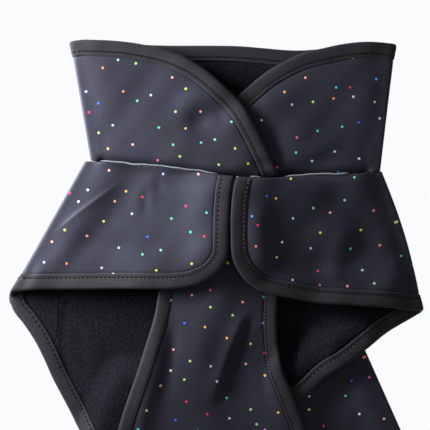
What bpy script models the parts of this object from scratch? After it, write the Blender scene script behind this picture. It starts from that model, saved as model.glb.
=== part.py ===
"""Dog winter coat, laid flat with the chest side up. All tables are in millimetres.

X runs across the coat, Y from tail to collar, and the table is z = 0.
Each cut of cloth is drawn flat, in the plane of its back layer. Cloth past a
fold line turns over and lies on the front, so one outline serves both layers.
"""
import math

import bpy
import numpy as np
from mathutils import Vector
from mathutils.geometry import delaunay_2d_cdt

CLOTH = 1.6  # print face, membrane and fleece in one laminate
TAPE = 1.0  # folded binding tape, on each face of the cloth
SEAM = 0.3  # gap at every seam
REST = 0.8  # gap between layers that lie on each other
TAPE_WIDTH = 12.0
BIB_TAPE_WIDTH = 10.0
COLLAR_TURN = 3.2  # radii of the side folds, at mid cloth
BODY_TURN = 3.4
REAR_TURN = 2.8
RIGHT_FOLD_BOW = 3.5  # the right side fold swells out by this
GRID = 12.0  # facet size on the cloth
COARSE = 12.0  # facet length along a bound edge
TURN_STEPS = 6
CELL = 2.0  # step of the height maps

HALF = CLOTH / 2
BOUND = HALF + SEAM + TAPE
EDGE = TAPE + SEAM  # cloth edge inside the tape's fold
X0, X1, Y0, Y1 = -190.0, 200.0, -432.0, 130.0

# columns: x, y. Front and back tables are as they lie, seen from above.
NECK_FRONT = [(-88, 10.2), (-68, 8.6), (-26, 4.6), (3, 0.2), (37, -2.4), (67, -0.4), (109, 1.2), (117, 1.9)]
NECK_BACK = [(-86, 11), (-40, 9.4), (20, 7.2), (75, 5), (116, 3.5)]
BODY_NECK = [(-100.8, 9.6), (128.9, 1.8)]  # where the neck seam turns at the sides
COLLAR_NECK = [(-97.8, 12.5), (127.8, 5.2)]
COLLAR_LEFT = [
    (-104, 104.1), (-94, 104.1), (-74.7, 103.2), (-55.7, 100.6), (-38.9, 96.7), (-21.9, 90.1), (-5.1, 79.5),
    (7.5, 68.2), (20.3, 55.6), (28.7, 41.9), (37.1, 26), (45.6, 8.1), (50.2, -2.2), (53, -8),
]
COLLAR_RIGHT = [
    (132, 101.8), (115.3, 102.6), (98.3, 100.9), (83.5, 97.8), (66.7, 93.6), (49.8, 85.8), (37.1, 77.8),
    (24.5, 67.2), (16, 59.8), (5.4, 47.7), (-2.3, 36.2), (-10.8, 19.3), (-16.5, 4), (-19, -5),
]
COLLAR_BACK = [
    (-102, 103.4), (-80, 102), (-56.2, 100.9), (-34.7, 100.3), (-5.1, 100.3), (18.2, 99.9), (37.1, 98.4),
    (54.1, 96.9), (66.7, 96.6), (83.5, 97.8), (108, 100), (130, 101.2),
]
LEFT_FRONT = [
    (16.2, 5), (14.6, -3.5), (12.6, -12.9), (11.1, -35), (10.7, -52.6), (9.8, -62.4), (6.5, -69.4),
    (-0.5, -77.4), (-10.2, -83.1), (-20.9, -86.5), (-32.3, -87.7), (-68.5, -87.8), (-102.2, -88.2),
    (-142.5, -88.9), (-153, -90.2),
]
LEFT_BACK = [
    (-156.4, -104), (-147.8, -115.5), (-139.1, -128.8), (-132.8, -141.2), (-125.7, -157.1), (-118.7, -170.4),
    (-111.7, -183.6), (-105.5, -196), (-93, -215), (-70, -232), (-29, -246), (-12, -252),
]
RIGHT_FRONT = [
    (17.6, 5), (15.3, -3.5), (13.1, -12.9), (11.9, -26.1), (11.5, -43.7), (11.9, -57), (13.6, -65.8),
    (18.9, -75.6), (25.1, -82.6), (33.9, -88.9), (43.7, -91.9), (57.8, -94.6), (76.4, -98.2), (97.3, -99.9),
    (118.1, -101.1), (139, -102.8), (149.8, -104.2),
]
RIGHT_BACK = [
    (154, -109.5), (143.1, -115.7), (129, -124.5), (116, -134.5), (101.4, -145.8), (86.4, -155.4),
    (73.9, -167.5), (63.8, -175.8), (53.9, -192.5), (46, -214), (43.5, -235), (44, -250),
]
LEFT_SEAM = [(-86, 14), (-100, -30), (-119, -90), (-122.5, -126), (-128, -136.5), (-137, -141.5), (-145, -145)]
RIGHT_SEAM = [(113, 8), (124, -40), (134, -88), (137, -103), (143, -114), (149, -124)]
BRIDGE = [(-45, -249), (-29, -246), (5, -242), (43.5, -235), (58, -232)]
BIB_LEFT = [
    (-32, 12), (-33, 2.2), (-35, -30), (-39, -62), (-43.6, -90.9), (-47.1, -110.3), (-53.3, -130.6), (-61.2, -155.4),
    (-68.3, -175.7), (-74.5, -196), (-81, -224), (-82, -252), (-73, -281), (-50, -302),
]
BIB_RIGHT = [
    (-8, -311), (36, -304), (65, -283), (78, -254), (77, -224), (69.7, -195.9), (62.2, -175.8),
    (57.2, -163.2), (52.2, -150.8), (49.3, -135.8), (47.6, -114.9), (48.4, -94.9), (49.5, -62), (49, -30),
    (47, -4.4), (46, 8),
]
BIB_TOP = [(-45, 3.5), (-33, 2.2), (5, -2.6), (47, -4.4), (60, -4.4)]
WING_RIGHT_TOP = [(107, -123.5), (92, -132), (76, -145), (63, -161), (57, -185), (58, -218), (64, -241)]
WING_RIGHT_HEM = [(70, -249.5), (84, -257), (110, -262), (138, -258), (156, -250)]
WING_LEFT_HEM = [(-106, -277), (-88, -285), (-66, -284), (-50, -275)]
WING_LEFT_TOP = [(-43, -262), (-37, -240), (-37, -212), (-42, -185), (-52, -168), (-64, -160.5)]
REAR_TOP_RIGHT = [(106, -125.5), (84, -150), (64, -184), (53, -214), (44.5, -236)]
REAR_TOP_LEFT = [(-29, -247), (-38, -224), (-50, -192), (-65, -163)]
TAIL = [
    (164, -258), (168, -275), (167, -302), (153, -343), (121, -381), (72, -401), (18, -406), (-42, -397),
    (-88, -372), (-113, -335), (-119, -302), (-115, -282),
]
PIPING = [("left", -88, 2), ("middle", 26, 36), ("right", 54, 103)]  # name, from x, to x
# columns: top of fold x, y, bottom of fold x, y
COLLAR_FOLDS = [(-111.65, 103.95, -96.25, 13.1), (139.1, 100.9, 127.8, 4.9)]
BODY_FOLDS = [(-100.7, 10.1, -160.2, -95.6), (128.2, 4.4, 159.8, -102.8)]
REAR_FOLDS = [(-68, -160, -114, -270), (110, -121.5, 165, -245)]


def smooth(t):
    t = np.clip(t, 0.0, 1.0)
    return t * t * (3 - 2 * t)


def spline(table, step=1.0):
    """Even steps along a smooth curve through the table's points."""
    p = np.array(table, float)
    p = np.vstack([2 * p[0] - p[1], p, 2 * p[-1] - p[-2]])
    knots = np.concatenate([[0], np.cumsum(np.linalg.norm(np.diff(p, axis=0), axis=1) ** 0.5)])
    out = []
    for i in range(1, len(p) - 2):
        k0, k1, k2, k3 = knots[i - 1 : i + 3]
        n = max(2, int(np.linalg.norm(p[i + 1] - p[i]) / step * 2))
        t = np.linspace(k1, k2, n, endpoint=False)[:, None]
        a1 = (k1 - t) / (k1 - k0) * p[i - 1] + (t - k0) / (k1 - k0) * p[i]
        a2 = (k2 - t) / (k2 - k1) * p[i] + (t - k1) / (k2 - k1) * p[i + 1]
        a3 = (k3 - t) / (k3 - k2) * p[i + 1] + (t - k2) / (k3 - k2) * p[i + 2]
        b1 = (k2 - t) / (k2 - k0) * a1 + (t - k0) / (k2 - k0) * a2
        b2 = (k3 - t) / (k3 - k1) * a2 + (t - k1) / (k3 - k1) * a3
        out.append((k2 - t) / (k2 - k1) * b1 + (t - k1) / (k2 - k1) * b2)
    out.append(p[-2][None])
    return even(np.vstack(out), step)


def even(line, step):
    s = np.concatenate([[0], np.cumsum(np.linalg.norm(np.diff(line, axis=0), axis=1))])
    at = np.linspace(0, s[-1], max(2, int(round(s[-1] / step)) + 1))
    return np.column_stack([np.interp(at, s, line[:, k]) for k in (0, 1)])


def normals(line):
    """Unit normals on the left of the way the line runs."""
    ends = np.vstack([2 * line[0] - line[1], line, 2 * line[-1] - line[-2]])
    along = ends[2:] - ends[:-2]
    along /= np.linalg.norm(along, axis=1)[:, None]
    return np.column_stack([-along[:, 1], along[:, 0]])


def shift(line, by):
    return line + by * normals(line)


def crossing(line, other):
    """Index on line of its first crossing with other, and the point."""
    for i in range(len(line) - 1):
        a, b = line[i], line[i + 1]
        c, d = other[:-1], other[1:]
        r, s = b - a, d - c
        det = r[0] * s[:, 1] - r[1] * s[:, 0]
        det = np.where(np.abs(det) < 1e-12, 1e-12, det)
        w = c - a
        t = (w[:, 0] * s[:, 1] - w[:, 1] * s[:, 0]) / det
        u = (w[:, 0] * r[1] - w[:, 1] * r[0]) / det
        hit = np.nonzero((t >= 0) & (t <= 1) & (u >= 0) & (u <= 1))[0]
        if len(hit):
            return i, a + t[hit[0]] * r
    raise ValueError("the lines do not cross")


def cut(line, first, last):
    """The stretch of a line from its crossing with one line to that with another."""
    i, p = crossing(line, first)
    rest = line[i + 1 :]
    j, q = crossing(rest, last)
    return np.vstack([p, rest[: j + 1], q])


def ring_of(*lines):
    """The outline that lines enclose, each crossing the next."""
    n = len(lines)
    return loop(*[cut(lines[k], lines[k - 1], lines[(k + 1) % n]) for k in range(n)])


def loop(*parts):
    """One closed outline from parts that run end to end."""
    pts = [parts[0][0]]
    for p in np.vstack(parts):
        if np.linalg.norm(p - pts[-1]) > 0.4:
            pts.append(p)
    while np.linalg.norm(pts[-1] - pts[0]) < 0.4:
        pts.pop()
    return np.array(pts)


def inside(points, ring):
    x, y = points[:, 0], points[:, 1]
    hit = np.zeros(len(points), bool)
    for (ax, ay), (bx, by) in zip(ring, np.roll(ring, -1, axis=0)):
        if ay == by:
            continue
        crosses = (ay > y) != (by > y)
        hit ^= crosses & (x < (bx - ax) * (y - ay) / (by - ay) + ax)
    return hit


def distance(points, line):
    best = np.full(len(points), 1e9)
    for a, b in zip(line[:-1], line[1:]):
        ab = b - a
        t = np.clip(((points - a) @ ab) / max(ab @ ab, 1e-9), 0, 1)
        best = np.minimum(best, np.linalg.norm(points - a - t[:, None] * ab, axis=1))
    return best


GX = np.arange(X0, X1 + CELL / 2, CELL)
GY = np.arange(Y0, Y1 + CELL / 2, CELL)
NODES = np.column_stack([g.ravel() for g in np.meshgrid(GX, GY)])


def sample(field, points):
    x = np.clip((points[:, 0] - X0) / CELL, 0, len(GX) - 1.001)
    y = np.clip((points[:, 1] - Y0) / CELL, 0, len(GY) - 1.001)
    i, j = x.astype(int), y.astype(int)
    u, v = x - i, y - j
    low = field[j, i] * (1 - u) + field[j, i + 1] * u
    high = field[j + 1, i] * (1 - u) + field[j + 1, i + 1] * u
    return low * (1 - v) + high * v


def slide(field, n, pick):
    for axis in (0, 1):
        wide = np.pad(field, [(n, n) if k == axis else (0, 0) for k in (0, 1)], mode="edge")
        size = field.shape[axis]
        field = pick([np.take(wide, range(k, k + size), axis=axis) for k in range(2 * n + 1)])
    return field


def highest(stack):
    return np.maximum.reduce(stack)


def average(stack):
    return sum(stack) / len(stack)


def bound_half(tapes, width=TAPE_WIDTH):
    """Half thickness of a layer, swelling to that of the tape at its bound edges."""
    if not tapes:
        return np.full((len(GY), len(GX)), HALF)
    d = np.minimum.reduce([distance(NODES, t[::6]) for t in tapes]).reshape(len(GY), len(GX))
    return HALF + (BOUND - HALF) * smooth((width + 20 - d) / 14)


def lay(support, half, spread=5):
    """Mid height of a layer that lies on the support, or on the table where it is 0."""
    top = slide(support, spread, highest)
    top = slide(slide(top, 3, average), spread - 3, average)
    return top + REST * smooth(top) + half


def cover(support, mid, half, ring):
    mask = inside(NODES, ring).reshape(mid.shape)
    return np.where(mask, np.maximum(support, mid + half), support)


class Fold:
    """A straight fold at a side: cloth past it comes back over itself."""

    def __init__(self, row, radius, bow=0.0):
        top, bottom = np.array(row[:2]), np.array(row[2:])
        self.top, self.length = top, np.linalg.norm(bottom - top)
        self.t = (bottom - top) / self.length
        side = 1.0 if top[0] < 0 else -1.0
        self.n = side * np.array([-self.t[1], self.t[0]])
        self.radius, self.out, self.bow, self.front = radius, radius + HALF, bow, None

    def flat(self, points):
        """Where a front point lies in the flat cut."""
        points = np.array(points, float)
        u = (points - self.top) @ self.n
        return points + (2 * self.out - math.pi * self.radius - 2 * u)[:, None] * self.n

    def rim(self, point):
        """Half way round the turn, level with a point of the silhouette."""
        point = np.array(point, float)
        u = (point - self.top) @ self.n
        return (point + (self.out - math.pi * self.radius / 2 - u) * self.n)[None]

    def past(self, points):
        return self.out - (points - self.top) @ self.n

    def line(self, a):
        """A line of the flat cut that lies at a past the start of the turn."""
        s = np.arange(-45, self.length + 60, 14.0)
        return self.top + s[:, None] * self.t + (self.out - a) * self.n

    def near(self, reach):
        """Closeness to the fold over the height maps, from 1 at it to 0."""
        s = np.array([-30.0, self.length + 30.0])
        line = self.top + s[:, None] * self.t
        return smooth(1 - distance(NODES, line).reshape(len(GY), len(GX)) / reach)


def turning(folds, points, reach=0.0):
    hit = np.zeros(len(points), bool)
    for f in folds:
        a = f.past(points)
        hit |= (a > -2 - reach) & (a < math.pi * f.radius + 2 + reach)
    return hit


class Sheet:
    """Cloth with up to two side folds. w is the distance to the print side of mid cloth."""

    def __init__(self, back, folds=(), face=-1.0):
        self.back, self.folds, self.face = back, folds, face

    def place(self, points, w):
        xy = points.astype(float).copy()
        w = np.broadcast_to(np.asarray(w, float), (len(xy),))
        z = sample(self.back, xy) + self.face * w
        for f in self.folds:
            a = f.past(points)
            turned = a > 0
            if not turned.any():
                continue
            p, a = points[turned], a[turned]
            foot = p - (((p - f.top) @ f.n)[:, None]) * f.n
            full = math.pi * f.radius
            angle = np.clip(a / f.radius, 0, math.pi) - math.pi / 2
            u = np.where(a < full, f.out - (f.radius + w[turned]) * np.cos(angle), f.out + a - full)
            level = foot + np.maximum(u, f.out)[:, None] * f.n
            low, high = sample(self.back, level), sample(f.front, level)
            k = (1 + np.sin(angle)) / 2
            xy[turned] = foot + u[:, None] * f.n
            z[turned] = low + (high - low) * k + w[turned] * np.sin(angle)
        for f in self.folds:
            if f.bow:
                rel = xy - f.top
                s = np.clip(rel @ f.t / f.length, 0, 1)
                xy -= (f.bow * np.sin(math.pi * s) * np.exp(-((rel @ f.n / 30) ** 2)))[:, None] * f.n
        return np.column_stack([xy, z])

def stations(folds, line, coarse, fine=2.3, reach=0.0):
    """Indices along a dense line, closer together in turns and bends."""
    n = normals(line)
    tight = turning(folds, line, reach)
    keep = [0]
    for i in range(1, len(line)):
        last = keep[-1]
        gone = np.linalg.norm(np.diff(line[last : i + 1], axis=0), axis=1).sum()
        bend = math.degrees(math.acos(max(-1, min(1, float(n[last] @ n[i])))))
        if gone >= (fine if tight[i] or tight[last] else coarse) - 1e-6 or (bend > 12 and gone > 2.2):
            keep.append(i)
    if keep[-1] != len(line) - 1:
        keep[-1] = len(line) - 1
    return np.array(keep)


def thin(folds, line, coarse=GRID):
    return line[stations(folds, line, coarse)]


class Edge:
    """A bound edge of a cut, the cloth on its left, and the way across its tape."""

    def __init__(self, folds, line, width=TAPE_WIDTH, ends=None, seams=(), coarse=COARSE):
        meets = []
        if ends is not None:
            line = cut(line, ends[0], ends[1])
            meets = [(line[0], ends[0]), (line[-1], ends[1])]
        meets += [(crossing(line, seam)[1], seam) for seam in seams]
        self.width, n = width, normals(line)
        cross = n.copy()
        for f in folds:
            a = f.past(line)
            away = np.maximum(np.maximum(-a, a - math.pi * f.radius), 0)
            w = (smooth(1 - away / 25) * smooth((np.abs(n @ f.t) - 0.45) / 0.3))[:, None]
            g = np.where((n @ f.t)[:, None] > 0, f.t, -f.t)
            cross = cross * (1 - w) + g * w
        run = np.concatenate([[0], np.cumsum(np.linalg.norm(np.diff(line, axis=0), axis=1))])
        forced = []
        for p, other in meets:
            i = int(np.argmin(np.linalg.norm(other - p, axis=1)))
            i = min(max(i, 3), len(other) - 4)
            t = (other[i + 3] - other[i - 3]) / np.linalg.norm(other[i + 3] - other[i - 3])
            at = run[int(np.argmin(np.linalg.norm(line - p, axis=1)))]
            w = smooth(1 - (np.abs(run - at) - 1) / 25)[:, None]
            cross = cross * (1 - w) + np.where((n @ t)[:, None] > 0, t, -t) * w
            forced += [int(np.argmin(np.abs(run - at - d))) for d in (-1.2, 1.2)]
        cross /= (cross * n).sum(axis=1)[:, None]
        keep = stations(folds, line, coarse)
        keep = [k for k in keep if all(abs(run[k] - run[f]) > 1.5 for f in forced) or k in (0, len(line) - 1)]
        keep = np.array(sorted(set(keep) | set(forced)))
        self.line, self.points, self.cross = line, line[keep], cross[keep]

    def at(self, d):
        return self.points + d * self.cross

    def inset(self):
        """The cloth's edge inside the tape, run on a little at both ends."""
        p = self.at(EDGE)
        head = p[0] - (p[1] - p[0]) * 4 / np.linalg.norm(p[1] - p[0])
        foot = p[-1] + (p[-1] - p[-2]) * 4 / np.linalg.norm(p[-1] - p[-2])
        return np.vstack([head, p, foot])


def add(name, verts, faces):
    mesh = bpy.data.meshes.new(name)
    mesh.from_pydata([tuple(v * 0.001) for v in verts], [], faces)
    mesh.update()
    ob = bpy.data.objects.new(name, mesh)
    bpy.context.scene.collection.objects.link(ob)
    return ob


def facing_out(verts, tris):
    a, b, c = (verts[tris[:, k]] for k in (0, 1, 2))
    return tris if (a * np.cross(b, c)).sum() > 0 else tris[:, ::-1]


def panel(name, sheet, ring, edges=(), size=GRID):
    """A closed wall of cloth over an outline of the flat cut."""
    closed = np.vstack([ring, ring[:1]])
    pts = [tuple(p) for p in ring]
    lines = [(i, (i + 1) % len(ring)) for i in range(len(ring))]
    low, high = ring.min(axis=0), ring.max(axis=0)
    rows = np.arange(low[1] + size / 2, high[1], size * 0.87)
    grid = [(x + (k % 2) * size / 2, y) for k, y in enumerate(rows) for x in np.arange(low[0], high[0], size)]
    grid = np.array(grid)
    grid = grid[inside(grid, ring) & (distance(grid, closed) > size * 0.45) & ~turning(sheet.folds, grid)]
    free = [grid]
    for f in sheet.folds:
        for k in range(TURN_STEPS + 1):
            row = f.line(math.pi * f.radius * k / TURN_STEPS)
            free.append(row[inside(row, ring) & (distance(row, closed) > 1.5)])
    for edge in edges:
        a, b = edge.at(EDGE), edge.at(edge.width)
        free = [row[distance(row, edge.points) > edge.width + 2.5] if len(row) else row for row in free]
        ok = inside(b, ring) & (distance(b, closed) > 0.2)
        ids = {}
        for i in np.nonzero(ok)[0]:
            gap = np.linalg.norm(ring - a[i], axis=1)
            if gap.min() < 0.05:
                ids[i] = (int(gap.argmin()), len(pts))
                pts.append(tuple(b[i]))
        for i, (p, q) in ids.items():
            lines.append((p, q))
            if i + 1 in ids:
                lines += [(q, ids[i + 1][1]), (q, ids[i + 1][0])]
    for k, row in enumerate(free):
        if k:
            lines += [(len(pts) + i, len(pts) + i + 1) for i in range(len(row) - 1)]
        pts += [tuple(p) for p in row]
    out = delaunay_2d_cdt([Vector(p) for p in pts], lines, [], 0, 0.01)
    flat = np.array([tuple(v) for v in out[0]])
    tris = np.array([t for t in out[2] if len(t) == 3])
    tris = tris[inside(flat[tris].mean(axis=1), ring)]
    used = np.unique(tris)
    renumber = np.full(len(flat), -1)
    renumber[used] = np.arange(len(used))
    flat, tris = flat[used], renumber[tris]
    verts = np.vstack([sheet.place(flat, HALF), sheet.place(flat, -HALF)])
    n = len(flat)
    sides = {(int(t[k]), int(t[(k + 1) % 3])) for t in tris for k in range(3)}
    faces = [tuple(t) for t in tris] + [tuple(t[::-1] + n) for t in tris]
    for a, b in sorted(e for e in sides if e[::-1] not in sides):
        faces += [(b, a, a + n), (b, a + n, b + n)]
    return add(name, verts, facing_out(verts, np.array(faces)).tolist())


def binding(name, sheet, edge):
    """Tape folded over an edge."""
    width, gap = edge.width, HALF + SEAM
    outer = [(width, BOUND), (0.9, BOUND), (0, 0), (0.9, -BOUND), (width, -BOUND)]
    inner = [(width, gap), (TAPE, gap), (TAPE, 0), (TAPE, -gap), (width, -gap)]
    ring = outer + inner[::-1]
    verts = np.stack([sheet.place(edge.at(d), w) for d, w in ring], axis=1).reshape(-1, 3)
    m, faces = len(ring), []
    for i in range(len(edge.points) - 1):
        for k in range(m):
            a, b = i * m + k, i * m + (k + 1) % m
            if ring[k][0] >= ring[(k + 1) % m][0]:
                faces += [(a, b, b + m), (a, b + m, a + m)]
            else:
                faces += [(a, b, a + m), (b, b + m, a + m)]
    for base, flip in ((0, False), ((len(edge.points) - 1) * m, True)):
        for k in range(4):
            quad = (base + k, base + m - 1 - k, base + m - 2 - k, base + k + 1)
            quad = quad[::-1] if flip else quad
            faces += [quad[:3], (quad[0], quad[2], quad[3])]
    return add(name, verts, facing_out(verts, np.array(faces)).tolist())


def strip(name, field, x0, x1, wide=1.0, tall=1.0):
    """A thin closed strip along the neck seam."""
    line = spline(NECK_FRONT, 4.0)
    line = shift(line[(line[:, 0] >= x0) & (line[:, 0] <= x1)], wide / 2 + 0.6)
    n = normals(line)
    base = sample(field, line) + HALF + REST
    ring = ((-wide / 2, 0), (wide / 2, 0), (wide / 2, tall), (-wide / 2, tall))
    verts = [(*(p + d * q), h + e) for p, q, h in zip(line, n, base) for d, e in ring]
    faces = []
    for i in range(len(line) - 1):
        for k in range(4):
            a, b = 4 * i + k, 4 * i + (k + 1) % 4
            faces += [(a, b, b + 4), (a, b + 4, a + 4)]
    last = 4 * (len(line) - 1)
    faces += [(2, 1, 0), (3, 2, 0), (last, last + 1, last + 2), (last, last + 2, last + 3)]
    verts = np.array(verts)
    return add(name, verts, facing_out(verts, np.array(faces)).tolist())


def clear_scene():
    for ob in list(bpy.data.objects):
        bpy.data.objects.remove(ob, do_unlink=True)


def flatten(fold, table):
    return fold.flat(np.array(table, float))


def lying(fold, line):
    """The part of a cut's edge that lies on the front, where it lies."""
    return fold.flat(line[fold.past(line) > math.pi * fold.radius / 2])


def puffed(support, folds, back, reach=14.0):
    """Support that holds a front layer off the back beside its fold."""
    for f in folds:
        lift = back + 2 * f.radius - REST - HALF
        support = np.maximum(support, f.near(reach) * lift)
    return support


def settle(parts):
    """Move the coat so that its box stands centred on the origin, on z = 0."""
    pts = np.vstack([[tuple(v.co) for v in ob.data.vertices] for ob in parts])
    low, high = pts.min(axis=0), pts.max(axis=0)
    move = Vector((-(low[0] + high[0]) / 2, -(low[1] + high[1]) / 2, -low[2]))
    for ob in parts:
        for v in ob.data.vertices:
            v.co += move
        ob.data.update()


def build():
    clear_scene()
    table = np.zeros((len(GY), len(GX)))
    parts = []

    # rear body: its back lies on the table and its wings on that
    rl, rr = (Fold(row, REAR_TURN) for row in REAR_FOLDS)
    hem = spline(np.vstack([flatten(rl, WING_LEFT_HEM[::-1]), TAIL[::-1], flatten(rr, WING_RIGHT_HEM[::-1])]))
    hem_edge = Edge((rl, rr), hem)
    top_right = thin((rl, rr), spline(np.vstack([flatten(rr, WING_RIGHT_TOP[::-1]), REAR_TOP_RIGHT])))
    top_left = thin((rl, rr), spline(np.vstack([REAR_TOP_LEFT, flatten(rl, WING_LEFT_TOP[::-1])])))
    rear_ring = loop(hem_edge.at(EDGE), top_right, top_left)
    flat_hem = hem[(rl.past(hem) <= 0) & (rr.past(hem) <= 0)]
    rear_half = bound_half([flat_hem])
    rear_back = rear_half
    wing_half = bound_half([lying(rl, hem), lying(rr, hem)])
    rear_outline = np.vstack([flat_hem, REAR_TOP_RIGHT, REAR_TOP_LEFT])
    support = cover(table, rear_back, rear_half, rear_outline)
    wings = lay(puffed(support, (rl, rr), rear_back), wing_half)
    rl.front = rr.front = wings
    rear = Sheet(rear_back, (rl, rr))
    parts.append(panel("rear_body", rear, rear_ring, [hem_edge], GRID + 2))
    parts.append(binding("rear_binding", rear, hem_edge))
    for fold in (rl, rr):
        support = cover(support, wings, wing_half, lying(fold, loop(hem, top_right, top_left)))

    # upper body: yoke and flaps, one wrap with a fold at each side
    bl, br = Fold(BODY_FOLDS[0], BODY_TURN), Fold(BODY_FOLDS[1], BODY_TURN, RIGHT_FOLD_BOW)
    folds = (bl, br)
    left = spline(np.vstack([flatten(bl, LEFT_FRONT), LEFT_BACK]))
    right = spline(np.vstack([RIGHT_BACK[::-1], flatten(br, RIGHT_FRONT[::-1])]))
    neck_l = [(30, -2.2)] + [p for p in NECK_FRONT if p[0] < 20][::-1]
    neck_r = [p for p in NECK_FRONT if p[0] > 0][::-1]
    neck = spline(
        np.vstack(
            [flatten(bl, neck_l), bl.rim(BODY_NECK[0]), NECK_BACK, br.rim(BODY_NECK[1]), flatten(br, neck_r)]
        )
    )
    neck = shift(neck, -SEAM)
    seam_l, seam_r, bridge = spline(LEFT_SEAM), spline(RIGHT_SEAM), spline(BRIDGE)
    inner_neck, inner_bridge = shift(neck, -SEAM), shift(bridge, 2 * SEAM)
    left_edge = Edge(folds, left, ends=(inner_neck, inner_bridge), seams=[seam_l])
    right_edge = Edge(folds, right, ends=(inner_bridge, inner_neck), seams=[seam_r])
    body_half = bound_half([left[bl.past(left) <= 0], right[br.past(right) <= 0]])
    body_back = lay(support, body_half)
    body_outline = np.vstack([left[bl.past(left) <= 0], right[br.past(right) <= 0], NECK_BACK[::-1]])
    support = cover(support, body_back, body_half, body_outline)

    # bib, on the yoke and the wings
    bib_top = shift(spline(BIB_TOP), -SEAM)
    bib_edge = Edge((), spline(BIB_LEFT + BIB_RIGHT), BIB_TAPE_WIDTH, [shift(bib_top, -SEAM)] * 2)
    bib_half = bound_half([bib_edge.line], BIB_TAPE_WIDTH)
    bib_mid = lay(support, bib_half)
    bib = Sheet(bib_mid, face=1.0)
    parts.append(panel("bib", bib, ring_of(bib_edge.inset(), thin((), bib_top)[::-1]), [bib_edge]))
    parts.append(binding("bib_binding", bib, bib_edge))
    support = cover(support, bib_mid, bib_half, bib_edge.line)

    # flaps, over the bib
    flap_half = bound_half([lying(bl, left), lying(br, right)])
    bl.front = br.front = lay(puffed(support, folds, body_back), flap_half)
    body = Sheet(body_back, folds)
    gap = SEAM / 2
    top = thin(folds, neck)[::-1]
    seams = [thin(folds, shift(line, by)) for line in (seam_l, seam_r) for by in (-gap, gap)]
    ring = ring_of(left_edge.inset(), seams[0][::-1], top)
    parts.append(panel("left_flap", body, ring, [left_edge]))
    ring = ring_of(right_edge.inset(), top, seams[3])
    parts.append(panel("right_flap", body, ring, [right_edge]))
    foot = thin(folds, shift(bridge, gap))
    ring = ring_of(seams[1], left_edge.inset(), foot, right_edge.inset(), seams[2][::-1], top)
    parts.append(panel("back_panel", body, ring, [left_edge, right_edge]))
    parts.append(binding("left_binding", body, left_edge))
    parts.append(binding("right_binding", body, right_edge))

    # collar: right wing under the left one
    cl, cr = (Fold(row, COLLAR_TURN) for row in COLLAR_FOLDS)
    folds = (cl, cr)
    brim = spline(
        np.vstack([flatten(cr, COLLAR_RIGHT[::-1]), COLLAR_BACK[::-1], flatten(cl, COLLAR_LEFT)])
    )
    base_l = [(64, -1.2)] + [p for p in NECK_FRONT if p[0] < 50][::-1]
    base_r = NECK_FRONT[1:][::-1]
    base = spline(
        np.vstack(
            [flatten(cl, base_l), cl.rim(COLLAR_NECK[0]), NECK_BACK, cr.rim(COLLAR_NECK[1]), flatten(cr, base_r)]
        )
    )
    base = shift(base, SEAM)
    brim_edge = Edge(folds, brim, ends=[shift(base, SEAM)] * 2)
    ring = ring_of(brim_edge.inset(), thin(folds, base))
    collar_half = bound_half([brim[(cl.past(brim) <= 0) & (cr.past(brim) <= 0)]])
    collar_back = collar_half
    support = cover(table, collar_back, collar_half, np.vstack([COLLAR_BACK, NECK_BACK[::-1]]))
    right_half, left_half = bound_half([lying(cr, brim)]), bound_half([lying(cl, brim)])
    cr.front = lay(puffed(support, folds, collar_back), right_half)
    support = cover(support, cr.front, right_half, lying(cr, ring))
    cl.front = lay(puffed(support, folds, collar_back), left_half)
    collar = Sheet(collar_back, folds)
    parts.append(panel("collar", collar, ring, [brim_edge]))
    parts.append(binding("collar_binding", collar, brim_edge))
    for name, x0, x1 in PIPING:
        parts.append(strip("piping_" + name, cr.front if x0 > 50 else cl.front, x0, x1))
    settle(parts)


build()
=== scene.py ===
"""Dog winter coat, laid flat with the chest side up: cloth, tape, sewing and light.

Tables are in millimetres, as in the part's source, and SETTLE sets them in the frame.
"""
import math

import bpy
import numpy as np
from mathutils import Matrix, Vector
from mathutils.geometry import delaunay_2d_cdt


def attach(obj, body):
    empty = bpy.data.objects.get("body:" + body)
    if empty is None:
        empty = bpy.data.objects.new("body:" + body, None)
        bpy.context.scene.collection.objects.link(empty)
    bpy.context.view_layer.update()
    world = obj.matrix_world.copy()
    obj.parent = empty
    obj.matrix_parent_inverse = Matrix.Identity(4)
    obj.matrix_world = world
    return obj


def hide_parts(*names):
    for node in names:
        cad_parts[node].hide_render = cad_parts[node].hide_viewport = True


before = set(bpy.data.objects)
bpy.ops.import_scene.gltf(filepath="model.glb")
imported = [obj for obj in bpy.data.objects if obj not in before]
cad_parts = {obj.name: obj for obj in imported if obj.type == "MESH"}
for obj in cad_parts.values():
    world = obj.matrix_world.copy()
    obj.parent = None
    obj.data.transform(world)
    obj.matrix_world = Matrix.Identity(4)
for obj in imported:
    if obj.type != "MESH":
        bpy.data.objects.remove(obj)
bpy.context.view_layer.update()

SETTLE = np.array([-4.49, 151.0, 0.01])  # from the tables to the frame

CLOTH = 1.6  # thickness
TAPE = 0.6
SEAM = 0.3  # left free where cuts meet, and between cloth and tape
REST = 0.8  # air between layers
TAPE_WIDTH = 12.0
BIB_TAPE_WIDTH = 10.0
COLLAR_TURN = 3.2  # radius of mid cloth round a side fold
BODY_TURN = 3.4
REAR_TURN = 2.8
RIGHT_FOLD_BOW = 3.5  # the yoke's right fold bulges out this much
BOW_REACH = 30.0

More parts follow.
